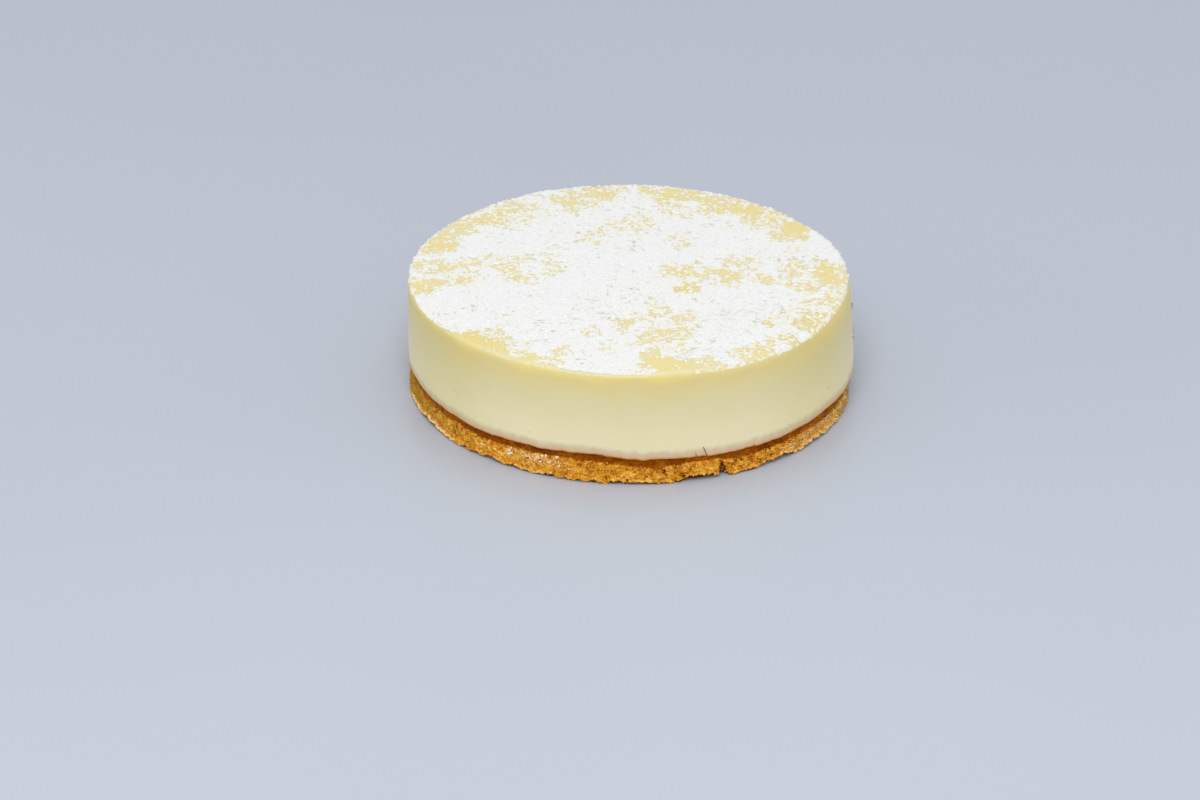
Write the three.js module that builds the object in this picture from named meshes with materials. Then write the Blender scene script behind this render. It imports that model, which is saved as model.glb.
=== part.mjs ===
// A round, uncut cheesecake: a smooth cream filling on a thin soaked layer and a crumb base.
//
// Units are millimetres and +Z is up. The origin is the middle of the cake's foot, on the
// surface that the crumb base rests on. The front of the cake faces -Y.
// Each layer is one closed solid that runs right through the cake. Each is drawn as rings of
// points, from the middle of its top, out and down its side, and in to the middle of its foot.

import * as THREE from 'three';

// Heights of the layers. The icing sugar is the top of the cake's height.
const CAKE_HEIGHT = 49;
const SUGAR_THICKNESS = 0.45;
const FILLING_TOP = CAKE_HEIGHT - SUGAR_THICKNESS;
const FILLING_BOTTOM = 11.4;
const CRUMB_TOP = 8.6;
const LAYER_GAP = 0.3;

// Radii. The filling stands a little proud of the soaked layer and slumps outwards below.
const CRUMB_RADIUS = 92.6;
const SOAKED_RADIUS = 92.0;
const SOAKED_WAVE = 0.25;
const SOAKED_TOP_ROUND = 0.5;
const FILLING_TOP_RADIUS = 91.6;
const FILLING_BULGE_RADIUS = 92.8;

// Every layer is slightly oval, and longest in this direction.
const OVAL_STRETCH = 0.5;
const OVAL_ANGLE = THREE.MathUtils.degToRad(-50);

// The filling's edges, and how far its top has crept to the left.
const RIM_ROUND = 2.4;
const LIP_ROUND = 1.5;
const LIP_WAVE = 0.5;
const TOP_LEAN = -1.4;
const SLUMP_POWER = 1.6;

// How finely each layer is drawn.
const TOP_RINGS = 23;
const RIM_STEPS = 4;
const WALL_STEPS = 5;
const LIP_STEPS = 3;
const SOAKED_COLUMNS = 120;
const CRUMB_COLUMNS = 320;
const CRUMB_ROWS = [8.2, 7.2, 6.0, 4.8, 3.6, 2.4, 1.2];

// The crumb base's rough side.
const LUMP_SIZE = 6.0;
const LUMP_DEPTH = 0.7;
const GRAIN_SIZE = 2.1;
const GRAIN_DEPTH = 1.0;
const TOP_EDGE_ROUND = 0.6;
const FOOT_UNDERCUT = 0.4;
const CREVICE_ANGLE = THREE.MathUtils.degToRad(-66.5);
const CREVICE_DEPTH = 2.6;
const CREVICE_FOOT_HALF_WIDTH = 3.4;
const CREVICE_TOP_HALF_WIDTH = 1.0;

// Where the icing sugar is thin or missing: middle, half widths and turn of each oval. The
// sugar thins out from the first of these shares of an oval's half width to the second.
const BARE_SHARE = 0.75;
const DUSTED_SHARE = 1.25;
const BARE_PATCHES = [
  { name: 'left rim', x: -79, y: 28, across: 7, along: 14, turn: -20 },
  { name: 'back left', x: -21, y: 77, across: 18, along: 8, turn: 5 },
  { name: 'back', x: 21, y: 79, across: 9, along: 7, turn: -12 },
  { name: 'back right', x: 46, y: 68, across: 14, along: 8, turn: -35 },
  { name: 'right shoulder', x: 68, y: 44, across: 6, along: 11, turn: 20 },
  { name: 'right rim', x: 80, y: 1, across: 6, along: 13, turn: 0 },
  { name: 'right of middle', x: 28, y: 2, across: 14, along: 5, turn: -8 },
  { name: 'small right', x: 23, y: -15, across: 4, along: 6, turn: 20 },
  { name: 'low right rim', x: 75, y: -42, across: 7, along: 9, turn: 0 },
  { name: 'front right', x: 52, y: -69, across: 7, along: 4, turn: 35 },
  { name: 'front', x: 15, y: -81, across: 11, along: 5, turn: -8 },
  { name: 'front middle', x: 14, y: -46, across: 10, along: 14, turn: 0 },
  { name: 'front left', x: -59, y: -64, across: 13, along: 6, turn: -40 },
  { name: 'left', x: -83, y: -12, across: 6, along: 9, turn: 0 },
];

const COLOURS = {
  filling: new THREE.Color().setRGB(0.87, 0.83, 0.67, THREE.SRGBColorSpace),
  soaked: new THREE.Color().setRGB(0.47, 0.23, 0.05, THREE.SRGBColorSpace),
  crumb: new THREE.Color().setRGB(0.79, 0.54, 0.20, THREE.SRGBColorSpace),
};

const { lerp, smoothstep } = THREE.MathUtils;

// A repeatable number from -1 to 1 for one corner of the noise grid.
function cornerValue(ix, iy, iz) {
  let hash = Math.imul(ix, 73856093) ^ Math.imul(iy, 19349663) ^ Math.imul(iz, 83492791);
  hash = Math.imul(hash ^ (hash >>> 15), 2246822519);
  hash = Math.imul(hash ^ (hash >>> 13), 3266489917);
  return ((hash ^ (hash >>> 16)) >>> 0) / 2147483647.5 - 1;
}

// Smooth noise from -1 to 1 whose lumps are about `size` across.
function noise(point, size) {
  const scaled = point.map((value) => value / size);
  const low = scaled.map(Math.floor);
  const [tx, ty, tz] = scaled.map((value, axis) => smoothstep(value - low[axis], 0, 1));
  const corner = (dx, dy, dz) => cornerValue(low[0] + dx, low[1] + dy, low[2] + dz);
  const edge = (dy, dz) => lerp(corner(0, dy, dz), corner(1, dy, dz), tx);
  const face = (dz) => lerp(edge(0, dz), edge(1, dz), ty);
  return lerp(face(0), face(1), tz);
}

// The points of one ring, evenly spaced by angle. A ring of one point is a middle.
function makeRing(count, pointAt) {
  return Array.from({ length: count }, (_, i) => pointAt((2 * Math.PI * i) / count));
}

// The triangles between two neighbouring rings, which may have different numbers of points.
function stitchRings(firstA, countA, firstB, countB) {
  const triangles = [];
  const nextAngle = (step, count) => (count > 1 ? (step + 1) / count : Infinity);
  const lastA = countA > 1 ? countA : 0;
  const lastB = countB > 1 ? countB : 0;
  let a = 0;
  let b = 0;
  while (a < lastA || b < lastB) {
    const pointA = firstA + (a % countA);
    const pointB = firstB + (b % countB);
    const moveB = b < lastB && (a >= lastA || nextAngle(b, countB) <= nextAngle(a, countA));
    if (moveB) {
      b += 1;
      triangles.push(pointA, pointB, firstB + (b % countB));
    } else {
      a += 1;
      triangles.push(pointA, pointB, firstA + (a % countA));
    }
  }
  return triangles;
}

// One closed solid from its rings, listed from the middle of the top to the middle of the foot.
function solidFromRings(rings) {
  const positions = rings.flat().flat();
  const indices = [];
  let first = 0;
  for (let i = 0; i + 1 < rings.length; i += 1) {
    const next = first + rings[i].length;
    indices.push(...stitchRings(first, rings[i].length, next, rings[i + 1].length));
    first = next;
  }
  const geometry = new THREE.BufferGeometry();
  geometry.setAttribute('position', new THREE.Float32BufferAttribute(positions, 3));
  geometry.setIndex(indices);
  geometry.computeVertexNormals();
  return geometry;
}

// How much sugar lies at a place: 1 is a full cover and 0 is bare.
function sugarCover(x, y) {
  return BARE_PATCHES.reduce((cover, patch) => {
    const turn = THREE.MathUtils.degToRad(patch.turn);
    const dx = x - patch.x;
    const dy = y - patch.y;
    const across = (dx * Math.cos(turn) + dy * Math.sin(turn)) / patch.across;
    const along = (dy * Math.cos(turn) - dx * Math.sin(turn)) / patch.along;
    const share = Math.hypot(across, along);
    return cover * smoothstep(share, BARE_SHARE, DUSTED_SHARE);
  }, 1);
}

// A point of a layer at an angle. The oval grows in step with the distance from the middle.
function layerPoint(angle, radius, height) {
  const stretch = (OVAL_STRETCH / FILLING_BULGE_RADIUS) * Math.cos(2 * (angle - OVAL_ANGLE));
  const reach = radius * (1 + stretch);
  return [reach * Math.cos(angle), reach * Math.sin(angle), height];
}

// A point of the filling, moved by the lean that grows with height.
function fillingPoint(angle, radius, height) {
  const [x, y] = layerPoint(angle, radius, height);
  return [x + (TOP_LEAN * height) / CAKE_HEIGHT, y, height];
}

// The wall's radius, from the lip's 0 to the rim's 1.
function wallRadius(rise) {
  return lerp(FILLING_BULGE_RADIUS, FILLING_TOP_RADIUS, rise ** SLUMP_POWER);
}

// How far the lip's round edge is lifted by its long and short waves.
function lipLift(angle) {
  const longWave = Math.sin(5 * angle + 1) * Math.cos(2 * angle);
  const shortWave = Math.sin(17 * angle);
  return LIP_WAVE * (0.7 + 0.4 * longWave + 0.3 * shortWave);
}

// The filling's top: rings of triangles all alike, with the sugar standing as low relief.
function fillingTopRings() {
  const flatRadius = FILLING_TOP_RADIUS - RIM_ROUND;
  const rings = [];
  for (let step = 0; step <= TOP_RINGS; step += 1) {
    const radius = (flatRadius * step) / TOP_RINGS;
    rings.push(makeRing(Math.max(1, 6 * step), (angle) => {
      const [x, y] = fillingPoint(angle, radius, CAKE_HEIGHT);
      return [x, y, FILLING_TOP + SUGAR_THICKNESS * sugarCover(x, y)];
    }));
  }
  return rings;
}

// The filling's side: the round rim, the slumped wall and the wavy lip.
function fillingSideRings() {
  const columns = 6 * TOP_RINGS;
  const wallTop = FILLING_TOP - RIM_ROUND;
  const rings = [];
  for (let step = 1; step <= RIM_STEPS; step += 1) {
    const bend = (0.5 * Math.PI * step) / RIM_STEPS;
    const radius = FILLING_TOP_RADIUS - RIM_ROUND * (1 - Math.sin(bend));
    const height = wallTop + RIM_ROUND * Math.cos(bend);
    rings.push(makeRing(columns, (angle) => fillingPoint(angle, radius, height)));
  }
  for (let step = 1; step <= WALL_STEPS; step += 1) {
    const rise = 1 - step / WALL_STEPS;
    rings.push(makeRing(columns, (angle) => {
      const wallBottom = FILLING_BOTTOM + LIP_ROUND + lipLift(angle);
      return fillingPoint(angle, wallRadius(rise), lerp(wallBottom, wallTop, rise));
    }));
  }
  for (let step = 1; step <= LIP_STEPS; step += 1) {
    const bend = (0.5 * Math.PI * step) / LIP_STEPS;
    const radius = FILLING_BULGE_RADIUS - LIP_ROUND * (1 - Math.cos(bend));
    rings.push(makeRing(columns, (angle) => {
      const drop = (LIP_ROUND + lipLift(angle)) * (1 - Math.sin(bend));
      return fillingPoint(angle, radius, FILLING_BOTTOM + drop);
    }));
  }
  return rings;
}

function makeFilling() {
  const middle = makeRing(1, (angle) => fillingPoint(angle, 0, FILLING_BOTTOM));
  return solidFromRings([...fillingTopRings(), ...fillingSideRings(), middle]);
}

function makeSoakedLayer() {
  const bottom = CRUMB_TOP + LAYER_GAP;
  const top = FILLING_BOTTOM - LAYER_GAP;
  const edgeWave = (angle) => SOAKED_WAVE * Math.sin(9 * angle) * Math.sin(4 * angle + 1);
  const edgeRing = (height, inset) => makeRing(SOAKED_COLUMNS, (angle) => (
    layerPoint(angle, SOAKED_RADIUS + edgeWave(angle) - inset, height)
  ));
  return solidFromRings([
    makeRing(1, () => layerPoint(0, 0, top)),
    edgeRing(top, SOAKED_TOP_ROUND),
    edgeRing(top - SOAKED_TOP_ROUND, 0),
    edgeRing(bottom, 0),
    makeRing(1, () => layerPoint(0, 0, bottom)),
  ]);
}

// How deep the crevice cuts at a place on the side. It narrows upwards.
function creviceDepth(angle, height) {
  const turn = angle - CREVICE_ANGLE;
  const fromMiddle = CRUMB_RADIUS * Math.abs(Math.atan2(Math.sin(turn), Math.cos(turn)));
  const halfWidth = lerp(CREVICE_FOOT_HALF_WIDTH, CREVICE_TOP_HALF_WIDTH, height / CRUMB_TOP);
  const inside = 1 - fromMiddle / halfWidth;
  return CREVICE_DEPTH * THREE.MathUtils.clamp(inside, 0, 1);
}

// The rough side of the crumb base at a place: lumps, grains and the crevice.
function crumbRadius(angle, height) {
  const place = layerPoint(angle, CRUMB_RADIUS, height);
  const lumps = LUMP_DEPTH * noise(place, LUMP_SIZE);
  const grains = GRAIN_DEPTH * noise(place, GRAIN_SIZE);
  return CRUMB_RADIUS + lumps + grains - creviceDepth(angle, height);
}

function makeCrumbBase() {
  const sideRing = (height, inset) => makeRing(CRUMB_COLUMNS, (angle) => (
    layerPoint(angle, crumbRadius(angle, height) - inset, height)
  ));
  return solidFromRings([
    makeRing(1, () => layerPoint(0, 0, CRUMB_TOP)),
    sideRing(CRUMB_TOP, TOP_EDGE_ROUND),
    ...CRUMB_ROWS.map((height) => sideRing(height, 0)),
    sideRing(0, FOOT_UNDERCUT),
    makeRing(1, () => layerPoint(0, 0, 0)),
  ]);
}

function makeLayer(name, geometry, color, roughness) {
  const material = new THREE.MeshStandardMaterial({ color, roughness, metalness: 0 });
  const mesh = new THREE.Mesh(geometry, material);
  mesh.name = name;
  return mesh;
}

const cheesecake = new THREE.Group();
cheesecake.add(makeLayer('filling', makeFilling(), COLOURS.filling, 0.3));
cheesecake.add(makeLayer('soaked_layer', makeSoakedLayer(), COLOURS.soaked, 0.35));
cheesecake.add(makeLayer('crumb_base', makeCrumbBase(), COLOURS.crumb, 0.85));

export default cheesecake;
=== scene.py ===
# A round, uncut cheesecake: a smooth cream filling on a thin soaked layer and a crumb base, with
# icing sugar dusted over its flat top.
#
# Sizes are in millimetres and are turned into metres as each mesh is made. The front of the cake
# faces -Y, and angles run anticlockwise from +X, as seen from above.

import itertools
import math

import bpy
import numpy as np
from mathutils import Matrix, Vector


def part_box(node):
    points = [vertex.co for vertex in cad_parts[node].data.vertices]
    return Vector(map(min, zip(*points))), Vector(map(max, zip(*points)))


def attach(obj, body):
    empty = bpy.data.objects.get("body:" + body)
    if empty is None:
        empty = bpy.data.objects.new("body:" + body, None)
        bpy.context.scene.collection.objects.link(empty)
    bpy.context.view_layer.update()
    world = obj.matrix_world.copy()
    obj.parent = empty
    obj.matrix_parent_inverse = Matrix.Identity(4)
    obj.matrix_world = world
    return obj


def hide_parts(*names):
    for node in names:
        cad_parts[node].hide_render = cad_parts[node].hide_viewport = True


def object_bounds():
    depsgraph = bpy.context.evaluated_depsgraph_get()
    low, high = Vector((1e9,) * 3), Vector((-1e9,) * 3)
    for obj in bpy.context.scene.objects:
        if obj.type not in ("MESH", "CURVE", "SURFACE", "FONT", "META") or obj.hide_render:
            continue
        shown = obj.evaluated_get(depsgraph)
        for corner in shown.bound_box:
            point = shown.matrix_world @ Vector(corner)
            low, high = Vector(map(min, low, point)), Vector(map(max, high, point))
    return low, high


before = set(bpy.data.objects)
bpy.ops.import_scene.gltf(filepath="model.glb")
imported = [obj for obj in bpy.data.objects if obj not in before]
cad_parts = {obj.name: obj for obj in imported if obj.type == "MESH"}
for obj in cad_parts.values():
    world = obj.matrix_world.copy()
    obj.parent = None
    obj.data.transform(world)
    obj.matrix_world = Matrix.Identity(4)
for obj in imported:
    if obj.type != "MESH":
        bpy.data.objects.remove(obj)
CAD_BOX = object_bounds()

MM = 0.001
CAD_LOW, CAD_HIGH = (np.array(corner) / MM for corner in CAD_BOX)


def corners_in_mm(node):
    """The lowest and highest corner of a CAD node."""
    return [np.array(corner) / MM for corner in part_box(node)]


# Heights of the layers, from the frame. The icing sugar is the top of the cake's height.
FILLING_LOW, FILLING_HIGH = corners_in_mm("filling")
CAKE_HEIGHT = FILLING_HIGH[2]
FILLING_BOTTOM = FILLING_LOW[2]
CRUMB_TOP = corners_in_mm("crumb_base")[1][2]
SUGAR_THICKNESS = 0.45
FILLING_TOP = CAKE_HEIGHT - SUGAR_THICKNESS

# The solids' own radii and edges.
CRUMB_RADIUS = 92.6
SOAKED_RADIUS = 92.0
FILLING_TOP_RADIUS = 91.6
FILLING_BULGE_RADIUS = 92.8
OVAL_STRETCH = 0.5
OVAL_ANGLE = math.radians(-50)
RIM_ROUND = 2.4
LIP_ROUND = 1.5
LIP_WAVE = 0.5
TOP_LEAN = -1.4
SLUMP_POWER = 1.6
LUMP_SIZE = 6.0
LUMP_DEPTH = 0.7
GRAIN_SIZE = 2.1
GRAIN_DEPTH = 1.0
CREVICE_ANGLE = math.radians(-66.5)
CREVICE_LEAN = math.radians(-0.9)
CREVICE_DEPTH = 2.6
CREVICE_FOOT_HALF_WIDTH = 3.4
CREVICE_TOP_HALF_WIDTH = 1.0
FLAT_RADIUS = FILLING_TOP_RADIUS - RIM_ROUND
WALL_TOP = FILLING_TOP - RIM_ROUND
WALL_HEIGHT = FILLING_TOP - FILLING_BOTTOM
HIGHEST_REACH = 93.2

# How finely the layers are drawn.
TOP_RING_STEP = 1.25
WALL_COLUMNS = 720
RIM_STEPS = 10
WALL_STEPS = 44
LIP_STEPS = 8
SOAKED_COLUMNS = 1100
SOAKED_STEPS = 14
CRUMB_COLUMNS = 2400
CRUMB_STEPS = 38
SUGAR_RINGS = 183

# Where the icing sugar is thin or missing on the top: middle, width, length and how bare it is.
THIN_PATCHES = [
    # Left rim and back left.
    (-82, 26, 11, 13, 0.82), (-79, 34, 11, 13, 0.8), (-72, 47, 11, 14, 0.8),
    (-60, 56, 14, 14, 0.78), (-51, 66, 14, 12, 0.55), (-50, 53, 12, 16, 0.4),
    (-42, 64, 14, 20, 0.3), (-28, 74, 11, 16, 0.75), (-17, 82, 10, 10, 0.85),
    (-16, 72, 10, 10, 0.55), (-11, 79, 9, 12, 0.7), (-25, 65, 10, 10, 0.5),
    (-5, 87, 5, 7, 0.7),
    # Back and right shoulder.
    (6, 83, 9, 10, 0.7), (14, 76, 11, 17, 0.82), (26, 79, 13, 12, 0.82),
    (20, 84, 14, 8, 0.6), (19, 62, 14, 12, 0.45), (35, 67, 13, 13, 0.78),
    (38, 78, 9, 7, 0.65), (48, 65, 14, 18, 0.93), (60, 57, 13, 15, 0.75),
    (50, 52, 16, 12, 0.4), (69, 47, 12, 18, 0.97), (63, 39, 12, 9, 0.7),
    # Back of the middle.
    (3, 53, 10, 18, 0.45), (-9, 46, 12, 13, 0.4), (20, 37, 9, 9, 0.5),
    (-16, 34, 10, 14, 0.3), (-34, 12, 9, 24, 0.35), (21, 27, 7, 6, 0.35),
    # Left.
    (-84, 6, 14, 12, 0.6), (-72, 3, 16, 14, 0.52), (-85, -12, 10, 14, 0.85),
    (-76, -8, 10, 8, 0.55), (-66, -5, 12, 9, 0.35), (-58, 12, 16, 12, 0.35),
    (-48, 12, 9, 12, 0.45), (-51, 0, 9, 14, 0.7), (-43, -4, 8, 8, 0.55),
    # Right of the middle.
    (16, 3, 11, 14, 0.6), (26, 3, 14, 14, 0.8), (39, -1, 10, 10, 0.7),
    (41, 14, 10, 9, 0.55), (48, 12, 9, 10, 0.6), (40, -7, 12, 8, 0.4),
    (49, 0, 12, 12, 0.6), (57, -3, 9, 9, 0.65), (22, -12, 8, 12, 0.85),
    # Right rim.
    (65, 3, 10, 24, 0.5), (79, 6, 12, 18, 0.93), (82, -4, 12, 14, 0.95),
    (71, -12, 15, 9, 0.75), (68, 26, 7, 12, 0.4), (83, -19, 8, 14, 0.55),
    (72, -27, 16, 14, 0.4), (74, -40, 10, 16, 0.75), (69, -47, 10, 9, 0.65),
    (59, -42, 10, 12, 0.5),
    # Front right and front.
    (62, -59, 14, 6, 0.65), (54, -65, 9, 7, 0.55), (50, -71, 12, 8, 0.88),
    (43, -73, 7, 7, 0.75), (29, -79, 12, 9, 0.65), (14, -82, 19, 12, 0.97),
    (9, -73, 10, 9, 0.6), (18, -67, 12, 10, 0.25), (12, -56, 16, 14, 0.65),
    (21, -52, 8, 14, 0.55), (11, -32, 10, 15, 0.58), (22, -41, 10, 12, 0.55),
    (4, -42, 10, 10, 0.35), (-4, -47, 8, 12, 0.85), (1, -62, 10, 10, 0.25),
    (-17, -52, 8, 9, 0.55), (-10, -70, 8, 12, 0.4), (-27, -71, 7, 9, 0.6),
    # Front left.
    (-66, -57, 13, 9, 0.9), (-57, -64, 13, 12, 0.9), (-56, -54, 9, 8, 0.6),
    (-49, -69, 8, 9, 0.75), (-43, -76, 13, 8, 0.8), (-33, -80, 10, 8, 0.7),
    (-52, -39, 7, 5, 0.4), (-41, -65, 6, 8, 0.35),
]


# ---- noise and shaping

def smoothstep(value, low, high):
    share = np.clip((value - low) / (high - low), 0, 1)
    return share * share * (3 - 2 * share)


def mix(low, high, share):
    return low + (high - low) * share


def cell_value(cells, salt=0):
    """A repeatable number from 0 to 1 for each cell of a grid, given as whole numbers."""
    mixed = cells[..., 0] * 73856093 ^ cells[..., 1] * 19349663 ^ cells[..., 2] * 83492791
    mixed = (mixed ^ salt * 26544357).astype(np.uint32)
    mixed = (mixed ^ (mixed >> np.uint32(15))) * np.uint32(2246822519)
    mixed = (mixed ^ (mixed >> np.uint32(13))) * np.uint32(3266489917)
    return (mixed ^ (mixed >> np.uint32(16))) / 4294967295.0


def noise(places, size, salt=0):
    """Smooth noise from -1 to 1 whose lumps are about `size` across."""
    scaled = places / size
    low = np.floor(scaled).astype(np.int64)
    near = smoothstep(scaled - low, 0, 1)
    total = 0
    for corner in itertools.product((0, 1), repeat=3):
        weight = np.prod(np.where(corner, near, 1 - near), axis=-1)
        total = total + weight * cell_value(low + corner, salt)
    return 2 * total - 1


def packed_grains(places, size, salt):
    """For grains packed side by side: how near each place is to its grain's middle, how far from
    the joint with the next grain, and the grain's own number."""
    scaled = places / size
    low = np.floor(scaled).astype(np.int64)
    nearest = np.full(len(places), 9.0)
    second = np.full(len(places), 9.0)
    number = np.zeros(len(places))
    for step in itertools.product((-1, 0, 1), repeat=3):
        cell = low + step
        middle = cell + np.stack([cell_value(cell, salt + axis) for axis in range(3)], -1)
        distance = np.linalg.norm(middle - scaled, axis=-1)
        closer = distance < nearest
        second = np.where(closer, nearest, np.minimum(second, distance))
        number = np.where(closer, cell_value(cell, salt + 3), number)
        nearest = np.where(closer, distance, nearest)
    return nearest, second - nearest, number


# ---- meshes

def ring_angles(count):
    return 2 * math.pi * np.arange(count) / count


def stitch(first_a, count_a, first_b, count_b):
    """The triangles between two neighbouring rings of evenly spaced points."""
    triangles = []
    if count_a > 1:
        i = np.arange(count_a)
        b = (i + 1) * count_b // count_a if count_b > 1 else 0 * i
        triangles.append([first_a + i, first_b + b % count_b, first_a + (i + 1) % count_a])
    if count_b > 1:
        j = np.arange(count_b)
        a = ((j + 1) * count_a - 1) // count_b if count_a > 1 else 0 * j
        triangles.append([first_a + a % count_a, first_b + j, first_b + (j + 1) % count_b])
    return np.concatenate([np.stack(columns, 1) for columns in triangles])


def join_rings(rings):
    """One mesh from rings of points, listed from the middle of the top, out and down."""
    triangles = []
    first = 0
    for ring, after in zip(rings, rings[1:]):
        triangles.append(stitch(first, len(ring), first + len(ring), len(after)))
        first += len(ring)
    return np.concatenate(rings), np.concatenate(triangles)


def make_piece(name, points, triangles, material, attributes):
    """A piece of the cake, with a number at each point for each named attribute."""
    mesh = bpy.data.meshes.new(name)
    mesh.from_pydata(points * MM, [], triangles, shade_flat=False)
    for label, values in attributes.items():
        layer = mesh.attributes.new(label, "FLOAT", "POINT")
        layer.data.foreach_set("value", values.astype(np.float32))
    mesh.materials.append(material)
    piece = bpy.data.objects.new(name, mesh)
    bpy.context.scene.collection.objects.link(piece)
    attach(piece, "root")
    return piece


def random_turns(count, random):
    """Random rotation matrices."""
    w, x, y, z = random.normal(size=(4, count)) + 1e-9
    length = np.sqrt(w * w + x * x + y * y + z * z)
    w, x, y, z = w / length, x / length, y / length, z / length
    rows = [
        [1 - 2 * (y * y + z * z), 2 * (x * y - z * w), 2 * (x * z + y * w)],
        [2 * (x * y + z * w), 1 - 2 * (x * x + z * z), 2 * (y * z - x * w)],
        [2 * (x * z - y * w), 2 * (y * z + x * w), 1 - 2 * (x * x + y * y)],
    ]
    return np.moveaxis(np.array(rows), 2, 0)


GRAIN_CORNERS = 12
GOLDEN_RATIO = (1 + math.sqrt(5)) / 2


def lumpy_grains(middles, radii, seed, flatness=1.0):
    """Rough little lumps: 20-sided balls whose corners are pushed in and out."""
    corners = [(0, a, b * GOLDEN_RATIO) for a in (-1, 1) for b in (-1, 1)]
    corners = np.array(corners + [(y, z, x) for x, y, z in corners] + [(z, x, y) for x, y, z in corners])
    corners = corners / np.linalg.norm(corners, axis=1)[:, None]
    hull = []
    for trio in itertools.combinations(range(GRAIN_CORNERS), 3):
        a, b, c = corners[list(trio)]
        edges = [np.linalg.norm(a - b), np.linalg.norm(b - c), np.linalg.norm(c - a)]
        if max(edges) < 1.1:
            outward = np.dot(np.cross(b - a, c - a), a) > 0
            hull.append(trio if outward else trio[::-1])
    random = np.random.default_rng(seed)
    count = len(middles)
    reach = random.uniform(0.75, 1.15, (count, GRAIN_CORNERS, 1))
    stretch = random.uniform(0.75, 1.2, (count, 1, 3))
    shapes = corners[None] * reach * stretch
    shapes = np.einsum("nij,nkj->nki", random_turns(count, random), shapes)
    shapes[:, :, 2] *= flatness
    points = middles[:, None] + shapes * radii[:, None, None]
    triangles = np.array(hull)[None] + GRAIN_CORNERS * np.arange(count)[:, None, None]
    return points.reshape(-1, 3), triangles.reshape(-1, 3)


# ---- the layers' forms

# Where the filling's rim is softer: angle and half width in degrees, and how far it draws in.
SOFT_RIM = [(-20, 42, 1.0)]
SOFT_RIM_LOW = 40.5


def angles_of(points):
    """The direction in which each point lies from the middle of the cake."""
    return np.arctan2(points[:, 1], points[:, 0])


def half_turn(angles):
    """The same directions, counted from minus to plus half a turn."""
    return np.arctan2(np.sin(angles), np.cos(angles))


def turn_between(angles, other):
    """The angle between two directions, whichever way round is shorter."""
    return np.abs(half_turn(angles - other))


def lift_near(angles, lifts, inner=0, outer=1):
    """The lift at each angle from rows of an angle, a half width and a lift, in degrees and mm.
    It fades out between two shares of the half width."""
    total = 0 * angles
    for degrees, half_width, lift in lifts:
        share = turn_between(angles, math.radians(degrees)) / math.radians(half_width)
        total = total + lift * (1 - smoothstep(share, inner, outer))
    return total


def layer_points(angles, radius, height):
    """Points of a layer. Every layer is slightly oval."""
    oval = 1 + OVAL_STRETCH / FILLING_BULGE_RADIUS * np.cos(2 * (angles - OVAL_ANGLE))
    reach = radius * oval
    columns = np.broadcast_arrays(reach * np.cos(angles), reach * np.sin(angles), height)
    return np.stack(columns, -1)


def filling_points(angles, radius, height):
    """Points of the filling, which leans a little more with height, and whose rim is softer on the
    right."""
    inwards = lift_near(angles, SOFT_RIM) * smoothstep(height, SOFT_RIM_LOW, FILLING_TOP - 1)
    inwards = inwards * smoothstep(radius, 60, FLAT_RADIUS)
    points = layer_points(angles, radius - inwards, height)
    points[..., 0] += TOP_LEAN * points[..., 2] / CAKE_HEIGHT
    return points


# Stretches where the edges of the lip and of the crumbs lie higher or lower: angle and half
# width in degrees, and lift.
LIP_LIFTS = [(-160, 20, 0.6), (-125, 28, -0.5), (-56, 16, -0.6), (-30, 12, 0.7)]
CRUMB_TOP_LIFTS = [(-74, 12, 0.9), (-92, 8, -0.4), (-50, 20, -0.5), (-16, 30, -1.3), (-84, 6, -0.6),
                   (-63, 7, -0.8), (-30, 12, -0.6)]

# Where the crumbs and the soaked layer stand back: angle and half width in degrees, and how far.
DRAWN_IN = [(-5, 50, 2.0), (6, 24, 1.0)]


def base_thickness(angles):
    """1 on the left, where the crumbs lie thick, and -1 on the right, where they lie thin."""
    degrees = np.degrees(half_turn(angles))
    return 1 - 2 * smoothstep(degrees, -101, -83) + 2 * smoothstep(degrees, 50, 140)


def lip_edge(angles):
    """The height of the lip's lower edge, with its long and short waves."""
    long_wave = np.sin(5 * angles + 1) * np.cos(2 * angles)
    wave = LIP_WAVE * (0.4 * long_wave + 0.3 * np.sin(17 * angles))
    places = layer_points(angles, FILLING_BULGE_RADIUS, 0)
    wave = wave + 0.25 * noise(places, 4, salt=54) + 0.16 * noise(places, 1.6, salt=55)
    level = FILLING_BOTTOM - 0.15 + 0.85 * base_thickness(angles)
    return level + wave + lift_near(angles, LIP_LIFTS)


def flat_places(x, y):
    """Places on a level plane, for noise."""
    return np.stack([x, y, 0 * x], -1)


def rim_bend(distance):
    """How far round the rim a place lies, in radians, from its distance along the surface."""
    return (distance - FLAT_RADIUS) / RIM_ROUND


def over_the_top(angles, distance, lift):
    """Points over the flat top and the round rim, `distance` from the middle along the surface
    and lifted off it by `lift`. The top is faintly uneven."""
    bend = np.maximum(rim_bend(distance), 0)
    radius = np.minimum(distance, FLAT_RADIUS) + (RIM_ROUND + lift) * np.sin(bend)
    height = WALL_TOP + (RIM_ROUND + lift) * np.cos(bend)
    points = filling_points(angles, radius, height)
    points[..., 2] += 0.04 * noise(flat_places(points[..., 0], points[..., 1]), 14, salt=5)
    return points


# ---- icing sugar

SUGAR_SUNK = 0.1
LUMP_THICKNESS = 0.3

# How much of the place's own size a thin patch near the rim keeps, and from where.
PATCH_STRETCH = 0.4
PATCH_STRETCH_FROM = 84

# A blob of sugar with fine creases: its middle and where the creases fade out.
CREASED_PLACE = (43, -40)
CREASED_RADIUS = 19
CREASE_FADE = 10

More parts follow.
